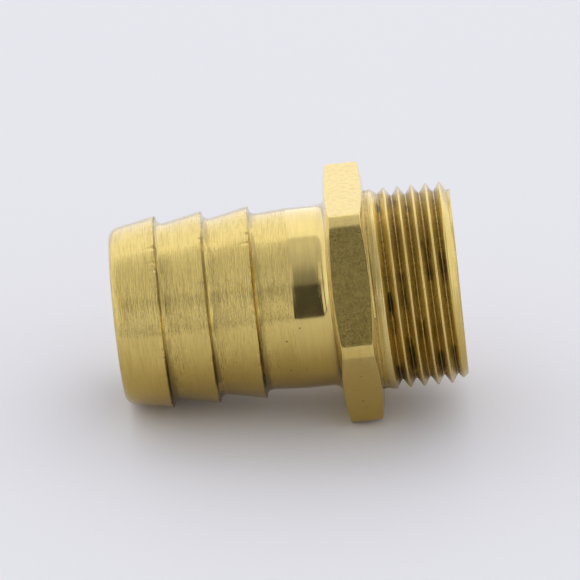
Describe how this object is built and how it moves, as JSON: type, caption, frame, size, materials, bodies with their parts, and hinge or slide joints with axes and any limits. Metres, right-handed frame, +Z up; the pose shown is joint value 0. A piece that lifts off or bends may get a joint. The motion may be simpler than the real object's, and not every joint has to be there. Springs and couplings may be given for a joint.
{
  "type": "hose tail fitting",
  "caption": "One-piece brass hose tail: barbed spigot for a soft hose, hexagon for a spanner and a male parallel pipe thread, with a bore right through.",
  "frame": {"origin": "centre of the footprint's bounding box, on the surface that the fitting lies on", "axes": "+X towards the threaded end (the axis rises 6.37 degrees towards it), barbs towards -X, +Z up"},
  "size_m": [0.0466, 0.0336, 0.0304],
  "materials": {
    "brass": "as turned: bright satin with fine lathe marks"
  },
  "bodies": {
    "root": {"hose_tail": "brass"}
  },
  "joints": []
}
